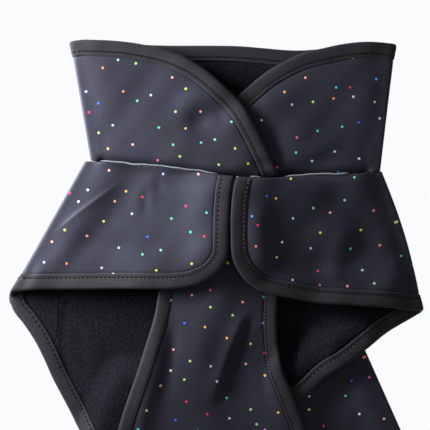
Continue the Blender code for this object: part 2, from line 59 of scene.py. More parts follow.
GRID = 2.6  # mesh step over the cloth
STEP = 2.5  # and along its edges
TURN_STEP = 1.3  # and along an edge round a side fold
TURN_STEPS = 16
CELL = 2.0  # step of the height maps
TAUT = 0.09  # slope at which a stretched layer falls away from what holds it up
STEEP = 0.12  # and a loose one
TAUT_REACH = 40  # cells over which it is held up
DROOP = 1.2  # the upper layer comes down this much to a side fold
BODY_DROOP = 2.0
DROOP_REACH = 12.0
LOOSE_AFTER = 10.0  # soft folds have their full height this far past a side fold
PRESSED = 0.5  # below 1, a fold is flatter above and below than a round one
RIM = 1.1  # cloth rolls into its seams over this
NECK_ROLL = 3.4  # and at the neck seam
FLAP_PROUD = 0.9  # the flaps stand up at the neck seam
COLLAR_SUNK = -3.2  # and the collar goes down to it
FULL_PAST = 6.0  # beside a tape, a layer keeps the tape's thickness this far
THINS_OVER = 20.0  # and loses it over this
SLANT_REACH = 25.0  # a tape lines up with a side fold or seam over this
RUN_ON = 4.0  # cloth goes on past the ends of its tape
DIP = 0.4  # cloth pressed in beside the tape
DIP_PAST = 0.45
DIP_WIDE = 0.6
THINNER = 0.35  # tape's face comes down this much from its fold to its inner edge
CROWN = 0.3  # and stands this much fuller between fold and stitches
GROOVE = 0.15  # depth of the stitched line
LIP = 0.35  # tape's inner edge stands up on the lining side
ROLLED = 0.45  # and is rounded over this
TAPE_ROWS = (-1, 0.1, 0.5, 1.1, 2.2)  # rows of cloth points past a tape's inner edge
SEAM_ROWS = (-0.9, -0.35, 0.35, 0.9)  # and to both sides of a seam
TAPE_CLEAR = 2.6  # other rows stay this far from a tape
SEAM_CLEAR = 1.3
STITCH_PITCH = 3.4
FINE_PITCH = 2.3  # on the collar and the bib
STITCH_SHARE = 0.56  # thread on top, of the pitch
THREAD = 0.5  # radius
THREAD_SUNK = 0.25  # its ends go this deep into the tape
KINK = 13.0  # between bends of the piping
PIPING_OUT = 0.6  # from the seam line
PIPING_WIDE = 0.55
PIPING_TALL = 0.5

HALF = CLOTH / 2
BOUND = HALF + SEAM + TAPE
EDGE = TAPE + SEAM
X0, X1, Y0, Y1 = -190.0, 200.0, -432.0, 130.0

# columns: x, y. Front and back tables are as they lie, seen from above.
NECK_FRONT = [(-88, 10.2), (-68, 8.6), (-26, 4.6), (3, 0.2), (37, -2.4), (67, -0.4), (109, 1.2), (117, 1.9)]
NECK_BACK = [(-86, 11), (-40, 9.4), (20, 7.2), (75, 5), (116, 3.5)]
BODY_NECK = [(-100.8, 11.1), (128.9, 3.1)]
COLLAR_NECK = [(-97.8, 10.8), (127.8, 2.8)]
COLLAR_LEFT = [
    (-104, 104.1), (-94, 104.1), (-74.7, 103.2), (-55.7, 100.6), (-38.9, 96.7), (-21.9, 90.1), (-5.1, 79.5),
    (7.5, 68.2), (20.3, 55.6), (28.7, 41.9), (37.1, 26), (45.6, 8.1), (50.2, -2.2), (53, -8),
]
COLLAR_RIGHT = [
    (132, 101.8), (115.3, 102.6), (98.3, 100.9), (83.5, 97.8), (66.7, 93.6), (49.8, 85.8), (37.1, 77.8),
    (24.5, 67.2), (16, 59.8), (5.4, 47.7), (-2.3, 36.2), (-10.8, 19.3), (-16.5, 4), (-19, -5),
]
COLLAR_BACK = [
    (-102, 103.4), (-80, 102), (-56.2, 100.9), (-34.7, 100.3), (-5.1, 100.3), (18.2, 99.9), (37.1, 98.4),
    (54.1, 96.9), (66.7, 96.6), (83.5, 97.8), (108, 100), (130, 101.2),
]
LEFT_FRONT = [
    (16.2, 5), (14.6, -3.5), (12.6, -12.9), (11.1, -35), (10.7, -52.6), (9.8, -62.4), (6.5, -69.4),
    (-0.5, -77.4), (-10.2, -83.1), (-20.9, -86.5), (-32.3, -87.7), (-68.5, -87.8), (-102.2, -88.2),
    (-142.5, -88.9), (-153, -90.2),
]
LEFT_BACK = [
    (-156.4, -104), (-147.8, -115.5), (-139.1, -128.8), (-132.8, -141.2), (-125.7, -157.1), (-118.7, -170.4),
    (-111.7, -183.6), (-105.5, -196), (-93, -215), (-70, -232), (-29, -246), (-12, -252),
]
RIGHT_FRONT = [
    (17.6, 5), (15.3, -3.5), (13.1, -12.9), (11.9, -26.1), (11.5, -43.7), (11.9, -57), (13.6, -65.8),
    (18.9, -75.6), (25.1, -82.6), (33.9, -88.9), (43.7, -91.9), (57.8, -94.6), (76.4, -98.2), (97.3, -99.9),
    (118.1, -101.1), (139, -102.8), (149.8, -104.2),
]
RIGHT_BACK = [
    (154, -109.5), (143.1, -115.7), (129, -124.5), (116, -134.5), (101.4, -145.8), (86.4, -155.4),
    (73.9, -167.5), (63.8, -175.8), (53.9, -192.5), (46, -214), (43.5, -235), (44, -250),
]
LEFT_SEAM = [
    (-86, 14), (-100, -30), (-119, -90), (-122.5, -126), (-128, -136.5), (-137, -141.5), (-145, -145),
]
RIGHT_SEAM = [(113, 8), (124, -40), (134, -88), (137, -103), (143, -114), (149, -124)]
BRIDGE = [(-45, -249), (-29, -246), (5, -242), (43.5, -235), (58, -232)]
BIB_LEFT = [
    (-32, 12), (-33, 2.2), (-35, -30), (-39, -62), (-43.6, -90.9), (-47.1, -110.3), (-53.3, -130.6),
    (-61.2, -155.4), (-68.3, -175.7), (-74.5, -196), (-81, -224), (-82, -252), (-73, -281), (-50, -302),
]
BIB_RIGHT = [
    (-8, -311), (36, -304), (65, -283), (78, -254), (77, -224), (69.7, -195.9), (62.2, -175.8),
    (57.2, -163.2), (52.2, -150.8), (49.3, -135.8), (47.6, -114.9), (48.4, -94.9), (49.5, -62), (49, -30),
    (47, -4.4), (46, 8),
]
BIB_TOP = [(-45, 3.5), (-33, 2.2), (5, -2.6), (47, -4.4), (60, -4.4)]
WING_RIGHT_TOP = [(107, -123.5), (92, -132), (76, -145), (63, -161), (57, -185), (58, -218), (64, -241)]
WING_RIGHT_HEM = [(70, -249.5), (84, -257), (110, -262), (138, -258), (156, -250)]
WING_LEFT_HEM = [(-106, -277), (-88, -285), (-66, -284), (-50, -275)]
WING_LEFT_TOP = [(-43, -262), (-37, -240), (-37, -212), (-42, -185), (-52, -168), (-64, -160.5)]
REAR_TOP_RIGHT = [(106, -125.5), (84, -150), (64, -184), (53, -214), (44.5, -236)]
REAR_TOP_LEFT = [(-29, -247), (-38, -224), (-50, -192), (-65, -163)]
TAIL = [
    (164, -258), (168, -275), (167, -302), (153, -343), (121, -381), (72, -401), (18, -406), (-42, -397),
    (-88, -372), (-113, -335), (-119, -302), (-115, -282),
]
PIPING = [("left", -88, 2), ("middle", 26, 36), ("right", 54, 103)]  # name, from x, to x
# columns: top of fold x, y, bottom of fold x, y
COLLAR_FOLDS = [(-111.65, 103.95, -96.25, 13.1), (139.1, 100.9, 127.8, 4.9)]
BODY_FOLDS = [(-100.7, 10.1, -160.2, -95.6), (128.2, 4.4, 159.8, -102.8)]
REAR_FOLDS = [(-68, -160, -114, -270), (110, -121.5, 165, -245)]

# Soft folds of each layer. Columns: width (or left and right of the path), height, fade in, fade out (as
# shares of the run), points. The left flap's sharp crease is apart, because its mesh follows it.
CREASE = [(-139, -57), (-118, -39), (-99, -24), (-81, -11), (-66, -1)]
FLAP_FOLDS = [
    ((1.0, 3.2), 0.55, 0.02, 0.4, CREASE),
    (8.0, 1.2, 0.2, 0.4, [(-150, -90), (-141, -74), (-133, -60)]),
    ((24.0, 34.0), -1.0, 0.2, 0.2, [(-92, -90), (-84, -67), (-76, -50), (-70, -31), (-58, -8)]),
    ((26.0, 30.0), -1.8, 0.2, 0.4, [(-92, -92), (-84, -72), (-76, -55), (-72, -40)]),
    (3.0, -0.6, 0.3, 0.4, [(-52, -8), (-54, -22), (-52, -34)]),
    (4.0, -0.5, 0.3, 0.3, [(-46, 0), (-43, -8), (-44, -16)]),
    (26.0, 2.4, 0.2, 0.2, [(-2, 4), (-2, -40), (-8, -86)]),
    ((60.0, 36.0), 3.6, 0.25, 0.35, [(16, 10), (16, -30), (16, -62), (12, -90)]),
    (11.0, 2.2, 0.35, 0.3, [(34, -10), (34, -36), (35, -58), (42, -80)]),
    ((28.0, 36.0), 3.8, 0.1, 0.4, [(86, 2), (86, -14), (84, -34), (84, -56), (86, -74)]),
    (20.0, -2.2, 0.55, 0.3, [(66, -10), (66, -35), (64, -60), (66, -85)]),
    (10.0, 2.0, 0.4, 0.2, [(108, -20), (103, -34), (99, -50), (93, -68), (90, -88)]),
    (16.0, 0.7, 0.5, 0.3, [(128, -20), (135, -50), (142, -90)]),
    (12.0, 1.4, 0.3, 0.2, [(148, -56), (138, -76), (132, -96)]),
]
BIB_FOLDS = [
    ((20.0, 21.0), 5.2, 0.1, 0.35, [(20, 0), (12, -50), (-2, -95), (-10, -145), (-10, -192)]),
    (30.0, 2.5, 0.3, 0.3, [(-10, -140), (-4, -190), (0, -250), (0, -300)]),
    (24.0, -3.6, 0.05, 0.5, [(50, -80), (48, -110), (47, -140), (54, -170), (62, -200)]),
    ((2.6, 8.0), 2.2, 0.3, 0.3, [(27, -100), (18, -122), (9, -146), (2, -168), (-1, -180)]),
    ((2.4, 2.6), -1.7, 0.25, 0.25, [(30, -106), (22, -123), (13, -146), (6, -167), (2, -180)]),
    (7.0, 1.8, 0.3, 0.3, [(-40, -105), (-45, -139), (-51, -162), (-57, -187), (-62, -215)]),
    (5.5, -1.2, 0.3, 0.4, [(-31, -108), (-34, -139), (-38, -162), (-41, -188)]),
]
LEFT_WING_FOLDS = [
    (7.5, -1.7, 0.4, 0.3, [(-20, 27), (-12, 41), (0, 48), (14, 43)]),
    (8.0, 1.3, 0.4, 0.3, [(-32, 34), (-21, 54), (-5, 62), (12, 57)]),
    ((14.0, 36.0), 1.8, 0.4, 0.2, [(12, 58), (26, 35), (40, 6)]),
    (2.6, 0.9, 0.4, 0.3, [(-93, 28), (-90, 18), (-91, 12)]),
]
RIGHT_WING_FOLDS = [
    ((32.0, 20.0), 3.0, 0.3, 0.2, [(32, 72), (47, 47), (58, 22), (68, 0)]),
    (5.0, 1.4, 0.3, 0.3, [(134, 36), (128, 24), (122, 8)]),
]
BACK_FOLDS = [
    (2.0, 0.5, 0.2, 0.3, [(-119, -90), (-121, -110), (-123, -134)]),
    (2.5, 0.5, 0.3, 0.3, [(-111, -107), (-101, -118), (-93, -130)]),
    (3.0, 0.4, 0.3, 0.3, [(96, -122), (90, -134), (86, -146)]),
    (3.5, -0.6, 0.2, 0.3, [(-119, -96), (-118, -119), (-117, -135), (-113, -150), (-104, -168)]),
    (9.0, 1.4, 0.4, 0.2, [(-104, -112), (-95, -130), (-92, -150), (-93, -165), (-92, -187)]),
]

# How the loose layers swell between their folds. Columns: height, length of the wave in x, in y, phase
SWELLS = [(0.20, 96, 61, 0.4), (0.12, 41, -57, 1.9), (0.08, -27, 33, 4.1)]

DOT_APART = 0.0187  # metres
DOT_EDGE = (0.058, 0.046)  # radius where a dot begins and where it has its full colour, in shares of that

# Inks of the print's dots, sRGB
DOT_COLOURS = [
    (232, 44, 100), (214, 96, 176), (206, 168, 224), (90, 208, 150), (84, 204, 204), (178, 222, 130),
    (214, 220, 86), (240, 190, 80), (240, 140, 80), (246, 172, 150), (40, 100, 226), (96, 160, 236),
    (176, 200, 240), (226, 228, 220), (222, 40, 72), (150, 212, 160),
]


def smooth(t):
    t = np.clip(t, 0.0, 1.0)
    return t * t * (3 - 2 * t)


def bell(t):
    return np.exp(-(t**2))


def blend(t, k0, a, k1, b):
    """Between a at k0 and b at k1."""
    return (k1 - t) / (k1 - k0) * a + (t - k0) / (k1 - k0) * b


def spline(table, step=1.0):
    """Even steps along a smooth curve through the table's points."""
    p = np.array(table, float)
    p = np.vstack([2 * p[0] - p[1], p, 2 * p[-1] - p[-2]])
    knots = np.concatenate([[0], np.cumsum(np.linalg.norm(np.diff(p, axis=0), axis=1) ** 0.5)])
    out = []
    for i in range(1, len(p) - 2):
        k0, k1, k2, k3 = knots[i - 1 : i + 3]
        n = max(2, int(np.linalg.norm(p[i + 1] - p[i]) / step * 2))
        t = np.linspace(k1, k2, n, endpoint=False)[:, None]
        a1 = blend(t, k0, p[i - 1], k1, p[i])
        a2 = blend(t, k1, p[i], k2, p[i + 1])
        a3 = blend(t, k2, p[i + 1], k3, p[i + 2])
        b1, b2 = blend(t, k0, a1, k2, a2), blend(t, k1, a2, k3, a3)
        out.append(blend(t, k1, b1, k2, b2))
    out.append(p[-2][None])
    return even(np.vstack(out), step)


def lengths(line):
    return np.concatenate([[0], np.cumsum(np.linalg.norm(np.diff(line, axis=0), axis=1))])


def even(line, step):
    s = lengths(line)
    return along(line, s, np.linspace(0, s[-1], max(2, int(round(s[-1] / step)) + 1)))


def along(line, s, at):
    """A line's points at the lengths given."""
    return np.column_stack([np.interp(at, s, line[:, k]) for k in range(line.shape[1])])


def unit(rows):
    return rows / np.linalg.norm(rows, axis=1)[:, None]


def normals(line):
    """Unit normals on the left of the way the line runs."""
    ends = np.vstack([2 * line[0] - line[1], line, 2 * line[-1] - line[-2]])
    way = unit(ends[2:] - ends[:-2])
    return np.column_stack([-way[:, 1], way[:, 0]])


def shift(line, by):
    return line + by * normals(line)


def crossing(line, other):
    """Index on line of its first crossing with other, and the point."""
    for i in range(len(line) - 1):
        a, b = line[i], line[i + 1]
        c, d = other[:-1], other[1:]
        r, s = b - a, d - c
        det = r[0] * s[:, 1] - r[1] * s[:, 0]
        det = np.where(np.abs(det) < 1e-12, 1e-12, det)
        w = c - a
        t = (w[:, 0] * s[:, 1] - w[:, 1] * s[:, 0]) / det
        u = (w[:, 0] * r[1] - w[:, 1] * r[0]) / det
        hit = np.nonzero((t >= 0) & (t <= 1) & (u >= 0) & (u <= 1))[0]
        if len(hit):
            return i, a + t[hit[0]] * r
    raise ValueError("the lines do not cross")


def cut(line, first, last):
    """The stretch of a line from its crossing with one line to that with another."""
    i, p = crossing(line, first)
    rest = line[i + 1 :]
    j, q = crossing(rest, last)
    return np.vstack([p, rest[: j + 1], q])


def ring_of(*lines):
    """The outline that lines enclose, each crossing the next."""
    n = len(lines)
    return loop(*[cut(lines[k], lines[k - 1], lines[(k + 1) % n]) for k in range(n)])


def loop(*parts):
    """One closed outline from parts that run end to end."""
    pts = [parts[0][0]]
    for p in np.vstack(parts):
        if np.linalg.norm(p - pts[-1]) > 0.4:
            pts.append(p)
    while np.linalg.norm(pts[-1] - pts[0]) < 0.4:
        pts.pop()
    return np.array(pts)


def inside(points, ring):
    x, y = points[:, 0], points[:, 1]
    hit = np.zeros(len(points), bool)
    for (ax, ay), (bx, by) in zip(ring, np.roll(ring, -1, axis=0)):
        if ay == by:
            continue
        crosses = (ay > y) != (by > y)
        hit ^= crosses & (x < (bx - ax) * (y - ay) / (by - ay) + ax)
    return hit


def nearest(points, line):
    """Distance to a line, how far along it the nearest point is (0 to 1), and whether it is on its left."""
    s = lengths(line)
    best, at, left = np.full(len(points), 1e9), np.zeros(len(points)), np.zeros(len(points), bool)
    for k in range(len(line) - 1):
        ab = line[k + 1] - line[k]
        t = np.clip(((points - line[k]) @ ab) / max(ab @ ab, 1e-9), 0, 1)
        away = points - line[k] - t[:, None] * ab
        d = np.linalg.norm(away, axis=1)
        closer = d < best
        best[closer] = d[closer]
        at[closer] = s[k] + t[closer] * (s[k + 1] - s[k])
        left[closer] = ab[0] * away[closer, 1] > ab[1] * away[closer, 0]
    return best, at / s[-1], left


def distance(points, line):
    return nearest(points, line)[0]


GX = np.arange(X0, X1 + CELL / 2, CELL)
GY = np.arange(Y0, Y1 + CELL / 2, CELL)
NODES = np.column_stack([g.ravel() for g in np.meshgrid(GX, GY)])
MAP = (len(GY), len(GX))


def blend_weights(t):
    return (1 - t) ** 3 / 6, (3 * t**3 - 6 * t**2 + 4) / 6, (1 + 3 * t + 3 * t**2 - 3 * t**3) / 6, t**3 / 6


def sample(field, points):
    """A height map between its nodes, without facets."""
    x = np.clip((points[:, 0] - X0) / CELL, 1, len(GX) - 3)
    y = np.clip((points[:, 1] - Y0) / CELL, 1, len(GY) - 3)
    i, j = x.astype(int), y.astype(int)
    total = np.zeros(len(points))
    for a, wa in enumerate(blend_weights(x - i)):
        for b, wb in enumerate(blend_weights(y - j)):
            total += wa * wb * field[j + b - 1, i + a - 1]
    return total


def slide(field, n, pick):
    """Each cell picked from those up to n cells away, along one axis and then the other."""
    for axis in (0, 1):
        wide = np.pad(field, [(n, n) if k == axis else (0, 0) for k in (0, 1)], mode="edge")
        size = field.shape[axis]
        field = pick([np.take(wide, range(k, k + size), axis=axis) for k in range(2 * n + 1)])
    return field


def highest(stack):
    return np.maximum.reduce(stack)


def average(stack):
    return sum(stack) / len(stack)


def taut(support, fall):
    """What a layer rests on if it falls away from high places by no more than this slope."""
    drops = [fall * CELL * abs(k) for k in range(-TAUT_REACH, TAUT_REACH + 1)]

    def held(stack):
        return highest([level - drop for level, drop in zip(stack, drops)])

    return slide(slide(support, TAUT_REACH, held), 5, average)


def bound_half(tapes, width=TAPE_WIDTH):
    """Half thickness of a layer, swelling to that of the tape at its bound edges."""
    d = np.minimum.reduce([distance(NODES, t[::6]) for t in tapes]).reshape(MAP)
    return HALF + (BOUND - HALF) * smooth((width + FULL_PAST + THINS_OVER - d) / THINS_OVER)


def lay(support, half):
    """Mid height of a layer that lies on the support, or on the table where it is 0."""
    top = slide(support, 5, highest)
    top = slide(slide(top, 3, average), 2, average)
    return top + REST * smooth(top) + half


def cover(support, mid, half, ring):
    """The support with a layer on it, over the outline."""
    mask = inside(NODES, ring).reshape(MAP)
    return np.where(mask, np.maximum(support, mid + half), support)


def relief(points, folds):
    """Height of the soft folds of a layer."""
    z = np.zeros(len(points))
    for wide, tall, start, end, path in folds:
        line, reach = spline(path, 4.0), 3 * np.max(wide)
        low, high = line.min(axis=0) - reach, line.max(axis=0) + reach
        near = np.all((points > low) & (points < high), axis=1)
        d, at, left = nearest(points[near], line)
        wide = np.where(left, *wide) if isinstance(wide, tuple) else wide
        z[near] += tall * bell(d / wide) * smooth(at / start) * smooth((1 - at) / end)
    return z


def swell(points):
    z = np.zeros(len(points))
    for tall, across, down, phase in SWELLS:
        z += tall * np.sin(2 * math.pi * (points[:, 0] / across + points[:, 1] / down) + phase)
    return z


class Fold:
    """A straight fold at a side: cloth past it comes back over itself."""

    def __init__(self, row, radius, bow=0.0, droop=DROOP):
        top, bottom = np.array(row[:2]), np.array(row[2:])
        self.top, self.length = top, np.linalg.norm(bottom - top)
        self.t = (bottom - top) / self.length
        side = 1.0 if top[0] < 0 else -1.0
        self.n = side * np.array([-self.t[1], self.t[0]])
        self.radius, self.out, self.bow, self.front = radius, radius + HALF, bow, None
        self.soft, self.droop = [], droop

    def flat(self, points):
        """Where a front point lies in the flat cut."""
        points = np.array(points, float)
        u = (points - self.top) @ self.n
        return points + (2 * self.out - math.pi * self.radius - 2 * u)[:, None] * self.n

    def rim(self, point):
        """Half way round the turn, level with a point of the silhouette."""
        u = (point - self.top) @ self.n
        return (point + (self.out - math.pi * self.radius / 2 - u) * self.n)[None]

    def past(self, points):
        return self.out - (points - self.top) @ self.n

    def line(self, a):
        """A line of the flat cut that lies at a past the start of the turn."""
        s = np.arange(-45, self.length + 60, 3.0)
        return self.top + s[:, None] * self.t + (self.out - a) * self.n

    def near(self, reach):
        """Closeness to the fold over the height maps, from 1 at it to 0."""
        s = np.array([-30.0, self.length + 30.0])
        line = self.top + s[:, None] * self.t
        return smooth(1 - distance(NODES, line).reshape(MAP) / reach)


def turning(folds, points):
    hit = np.zeros(len(points), bool)
    for f in folds:
        a = f.past(points)
        hit |= (a > -1) & (a < math.pi * f.radius + 1)
    return hit


class Sheet:
    """Cloth with up to two side folds. w is the distance to the print side of mid cloth.

    face is 1 where the print lies up, away from the folds, and -1 where it lies down.
    """

    def __init__(self, back, folds=(), face=-1.0, soft=(), seam=None, proud=0.0):
        self.back, self.folds, self.face, self.soft = back, folds, face, soft
        self.seam, self.proud = seam, proud

    def place(self, points, w):
        xy = points.astype(float).copy()
        w = np.broadcast_to(w, len(xy))
        z = sample(self.back, xy) + relief(xy, self.soft) + self.face * w
        for f in self.folds:
            a = f.past(points)
            turned = a > 0
            if not turned.any():
                continue
            p, a = points[turned], a[turned]
            foot = p - (((p - f.top) @ f.n)[:, None]) * f.n
            full = math.pi * f.radius
            angle = np.clip(a / f.radius, 0, math.pi) - math.pi / 2
            across, up = np.cos(angle) ** PRESSED, np.sign(angle) * np.abs(np.sin(angle)) ** PRESSED
            u = np.where(a < full, f.out - (f.radius + w[turned]) * across, f.out + a - full)
            level = foot + np.maximum(u, f.out)[:, None] * f.n
            low, high = sample(self.back, level), sample(f.front, level)
            loose = smooth((a - full) / LOOSE_AFTER)
            high = high + loose * (relief(level, f.soft) + swell(level))
            high = high - f.droop * bell(np.maximum(a - full, 0) / DROOP_REACH)
            if self.seam is not None:
                roll = bell(distance(level, self.seam) / NECK_ROLL)
                high = high + smooth((a - full) / 6) * self.proud * roll
            xy[turned] = foot + u[:, None] * f.n
            z[turned] = low + (high - low) * (1 + up) / 2 + w[turned] * up
        for f in self.folds:
            if f.bow:
                rel = xy - f.top
                s = np.clip(rel @ f.t / f.length, 0, 1)
                xy -= (f.bow * np.sin(math.pi * s) * bell(rel @ f.n / BOW_REACH))[:, None] * f.n
        return np.column_stack([xy, z])


def turned_to(t, way, n, share):
    """The way across a tape, turned by a share to the line t on the side of the normals."""
    share = share[:, None]
    return way * (1 - share) + np.where((n @ t)[:, None] > 0, t, -t) * share


class Edge:
    """A bound edge of a cut, the cloth on its left, and the way across its tape."""

    def __init__(self, folds, line, width=TAPE_WIDTH, ends=None, seams=()):
        meets = []
        if ends is not None:
            line = cut(line, ends[0], ends[1])
            meets = [(line[0], ends[0]), (line[-1], ends[1])]
        meets += [(crossing(line, seam)[1], seam) for seam in seams]
        self.width, n = width, normals(line)
        way = n.copy()
        for f in folds:
            a = f.past(line)
            away = np.maximum(np.maximum(-a, a - math.pi * f.radius), 0)
            crosses = smooth((np.abs(n @ f.t) - 0.45) / 0.3)
            way = turned_to(f.t, way, n, smooth(1 - away / SLANT_REACH) * crosses)
        run = lengths(line)
        for p, other in meets:
            i = int(np.argmin(np.linalg.norm(other - p, axis=1)))
            i = min(max(i, 3), len(other) - 4)
            t = other[i + 3] - other[i - 3]
            t = t / np.linalg.norm(t)
            at = run[int(np.argmin(np.linalg.norm(line - p, axis=1)))]
            way = turned_to(t, way, n, smooth(1 - (np.abs(run - at) - 1) / SLANT_REACH))
        way /= (way * n).sum(axis=1)[:, None]
        tight = turning(folds, line)
        pace = np.interp(run, run, np.cumsum(np.where(tight, 1 / TURN_STEP, 1 / STEP) * np.gradient(run)))
        count = int(pace[-1] - pace[0]) + 1
        self.run = np.interp(np.linspace(pace[0], pace[-1], count), pace, run)
        self.line, self.way, self.dense = line, way, run
        self.points, self.across = along(line, run, self.run), along(way, run, self.run)

    def at(self, d):
        return self.points + d * self.across

    def spot(self, s, d):
        """Flat points at the lengths s along the edge and d in from it."""
        return along(self.line, self.dense, s) + np.reshape(d, (-1, 1)) * along(self.way, self.dense, s)

    def inset(self):
        """The cloth's edge inside the tape, run on a little at both ends."""
        p = self.at(EDGE)
        head = p[0] - (p[1] - p[0]) * RUN_ON / np.linalg.norm(p[1] - p[0])
        foot = p[-1] + (p[-1] - p[-2]) * RUN_ON / np.linalg.norm(p[-1] - p[-2])
        return np.vstack([head, p, foot])


# ---- materials


def linear(rgb):
    return tuple((c / 255 / 12.92 if c <= 10 else ((c / 255 + 0.055) / 1.055) ** 2.4) for c in rgb) + (1.0,)


class Nodes:
    """Short hand for a material's node tree."""

    def __init__(self, name):
        self.material = bpy.data.materials.new(name)
        self.material.use_nodes = True
        self.tree = self.material.node_tree
        self.shader = self.tree.nodes["Principled BSDF"]

    def add(self, kind, **settings):
        node = self.tree.nodes.new("ShaderNode" + kind)
        for key, value in settings.items():
            setattr(node, key, value)
        return node

    def link(self, out, into):
        self.tree.links.new(out, into)

    def set(self, node, **values):
        for key, value in values.items():
            node.inputs[key.replace("_", " ")].default_value = value
        return node

    def place(self, stretch=(1, 1, 1), turn=0.0):
        """Pattern coordinates of the cloth, in metres."""
        uv = self.add("UVMap")
        mapping = self.set(self.add("Mapping"), Scale=stretch, Rotation=(0, 0, turn))
        self.link(uv.outputs[0], mapping.inputs["Vector"])
        return mapping.outputs[0]

    def noise(self, vector, scale, detail=3.0, roughness=0.5):
        node = self.set(self.add("TexNoise"), Scale=scale, Detail=detail, Roughness=roughness)
        self.link(vector, node.inputs["Vector"])
        return node.outputs["Fac"]

    def bands(self, vector, direction, scale, distortion):
        node = self.add("TexWave", wave_type="BANDS", bands_direction=direction, wave_profile="SIN")
        self.set(node, Scale=scale, Distortion=distortion, Detail=1.0)
        self.link(vector, node.inputs["Vector"])
        return node

    def ramp(self, fac, *stops, mode="LINEAR"):
        node = self.add("ValToRGB")
        node.color_ramp.interpolation = mode
        while len(node.color_ramp.elements) < len(stops):
            node.color_ramp.elements.new(0.5)
        for element, (position, colour) in zip(node.color_ramp.elements, stops):
            element.position, element.color = position, colour
        self.link(fac, node.inputs["Fac"])
        return node.outputs["Color"]

    def speckle(self, fac, low, high, dark, light):
        """From one colour to a lighter one between two values."""
        return self.ramp(fac, (low, (*dark, 1)), (high, (*light, 1)))

    def mix(self, fac, a, b, blend="MIX"):
        node = self.add("Mix", data_type="RGBA", blend_type=blend)
        for value, socket in ((fac, node.inputs[0]), (a, node.inputs[6]), (b, node.inputs[7])):
            if hasattr(value, "node"):
                self.link(value, socket)
            else:
                socket.default_value = value
        return node.outputs[2]

    def bump(self, height, strength, depth, normal=None):
        node = self.set(self.add("Bump"), Strength=strength, Distance=depth)
        self.link(height, node.inputs["Height"])
        if normal is not None:
            self.link(normal, node.inputs["Normal"])
        return node.outputs["Normal"]

    def finish(self, colour, normal, rough, specular, sheen=0.0, tint=(1, 1, 1, 1)):
        self.set(self.shader, Roughness=rough, Specular_IOR_Level=specular, Specular_Tint=tint)
        self.set(self.shader, Sheen_Weight=sheen, Sheen_Roughness=0.5)
        self.link(colour, self.shader.inputs["Base Color"])
        if normal is not None:
            self.link(normal, self.shader.inputs["Normal"])
        return self.material


def dots(m):
    """Mask and colour of small round dots, scattered over the print."""
    cell = m.add("TexVoronoi", voronoi_dimensions="2D", feature="F1")
    m.set(cell, Scale=1 / DOT_APART, Randomness=0.72)
    m.link(m.place(turn=0.35), cell.inputs["Vector"])
    mask = m.add("MapRange", interpolation_type="SMOOTHSTEP")
    m.set(mask, From_Min=DOT_EDGE[0], From_Max=DOT_EDGE[1], To_Min=0.0, To_Max=1.0)
    m.link(cell.outputs["Distance"], mask.inputs["Value"])
    split = m.add("SeparateColor")
    m.link(cell.outputs["Color"], split.inputs[0])
    n = len(DOT_COLOURS)
    stops = [(k / n, tuple(0.9 * v for v in linear(c)[:3]) + (1.0,)) for k, c in enumerate(DOT_COLOURS)]
    return mask.outputs["Result"], m.ramp(split.outputs[0], *stops, mode="CONSTANT")


def print_cloth():
    m = Nodes("softshell print face")
    flat = m.place()
    tone = m.speckle(m.noise(flat, 14, 3), 0.3, 0.7, (0.0195, 0.0178, 0.0285), (0.0255, 0.0218, 0.0325))
    knit = m.bands(flat, "Y", 480.0, 0.6)
    ribbed = m.mix(0.22, tone, knit.outputs["Color"], "MULTIPLY")
    mask, hue = dots(m)
    colour = m.mix(mask, ribbed, hue)
    normal = m.bump(knit.outputs["Fac"], 0.2, 0.0001, m.bump(m.noise(flat, 700, 2), 0.35, 0.0002))
    return m.finish(colour, normal, 0.62, 0.52, 0.05, (0.73, 0.79, 1.0, 1))


def fleece():
    m = Nodes("fleece lining")
    flat = m.place()
    nap = m.noise(flat, 420, 4, 0.65)
    tone = m.speckle(nap, 0.38, 0.62, (0.0004, 0.0007, 0.0013), (0.0057, 0.0072, 0.011))
    cloudy = m.speckle(m.noise(flat, 45, 3), 0.35, 0.7, (0.75, 0.75, 0.75), (1.15, 1.15, 1.15))
    colour = m.mix(1.0, tone, cloudy, "MULTIPLY")
    return m.finish(colour, m.bump(nap, 0.7, 0.0008), 0.9, 0.22, 0.03, (0.86, 0.88, 1.0, 1))


def tape_cloth():
    m = Nodes("binding tape")
    flat = m.place()
    tone = m.speckle(m.noise(flat, 70, 3), 0.3, 0.7, (0.0155, 0.0135, 0.016), (0.0205, 0.0175, 0.020))
    weave = m.bands(flat, "DIAGONAL", 460.0, 1.2)
    colour = m.mix(0.15, tone, weave.outputs["Color"], "MULTIPLY")
    rough = m.bump(m.noise(m.place(stretch=(1, 0.35, 1), turn=0.6), 190, 2), 0.25, 0.0006)
    normal = m.bump(weave.outputs["Fac"], 0.2, 0.00015, rough)
    return m.finish(colour, normal, 0.75, 0.32, 0.05, (0.97, 0.93, 1.0, 1))


def thread():
    m = Nodes("black thread")
    grain = m.noise(m.place(), 900, 2)
    tone = m.speckle(grain, 0.3, 0.7, (0.005, 0.0045, 0.005), (0.0095, 0.0085, 0.0095))
    return m.finish(tone, None, 0.8, 0.15)


def reflective():
    m = Nodes("reflective piping")
    grain = m.noise(m.place(), 1500, 2)
    tone = m.speckle(grain, 0.3, 0.7, (0.16, 0.175, 0.185), (0.32, 0.34, 0.35))
    return m.finish(tone, m.bump(grain, 0.3, 0.0001), 0.45, 0.5)


PRINT, FLEECE, BINDING, BLACK, SILVER = print_cloth(), fleece(), tape_cloth(), thread(), reflective()


# ---- pieces


def put(name, data):
    """An object in the scene."""
    ob = bpy.data.objects.new(name, data)
    bpy.context.scene.collection.objects.link(ob)
    return ob


